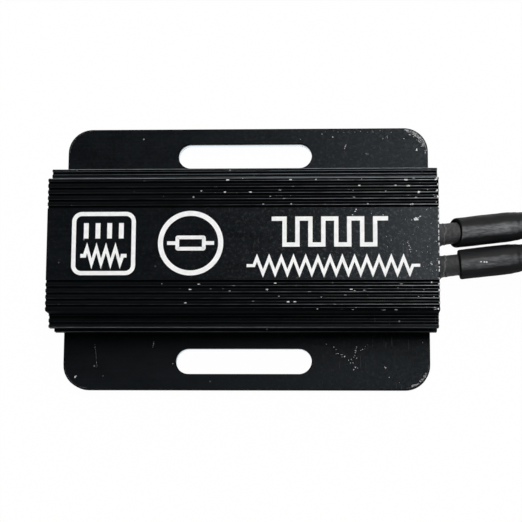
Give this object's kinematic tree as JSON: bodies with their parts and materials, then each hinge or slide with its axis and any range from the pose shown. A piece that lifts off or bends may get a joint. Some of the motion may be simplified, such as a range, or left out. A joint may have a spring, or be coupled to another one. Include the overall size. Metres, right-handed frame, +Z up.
{
  "type": "power load resistor",
  "caption": "Finned black aluminium body on a slotted mounting flange, with wound ceramic cores cast in cement inside and insulated leads out of one end; turns electrical load into heat.",
  "frame": {"origin": "middle of the housing's base, on the mounting face", "axes": "+X along the housing towards the lead end, +Y across it to the left of the leads, +Z up from the mounting face"},
  "size_m": [0.145, 0.0458, 0.0165],
  "materials": {
    "black_housing": "satin",
    "white_ink": "matte",
    "seal_resin": "satin",
    "cement": "matte",
    "core_ceramic": "matte",
    "resistance_wire": "satin",
    "cap_steel": "satin",
    "tinned_copper": "satin",
    "stub_insulation": "satin",
    "shrink_sleeve": "satin",
    "wire_insulation": "satin",
    "tie_plastic": "satin"
  },
  "bodies": {
    "root": {"housing": "black_housing", "rear_seal": "seal_resin", "front_seal": "seal_resin", "cement_fill": "cement", "left_core": "core_ceramic", "right_core": "core_ceramic", "left_winding": "resistance_wire", "right_winding": "resistance_wire", "left_rear_cap": "cap_steel", "right_rear_cap": "cap_steel", "left_front_cap": "cap_steel", "right_front_cap": "cap_steel", "rear_link": "cap_steel", "left_pin": "tinned_copper", "right_pin": "tinned_copper", "left_stub": "stub_insulation", "right_stub": "stub_insulation", "left_crimp": "tinned_copper", "right_crimp": "tinned_copper", "left_sleeve": "shrink_sleeve", "right_sleeve": "shrink_sleeve", "left_wire": "wire_insulation", "right_wire": "wire_insulation", "left_tip": "tinned_copper", "right_tip": "tinned_copper", "wire_tie": "tie_plastic"}
  },
  "joints": []
}
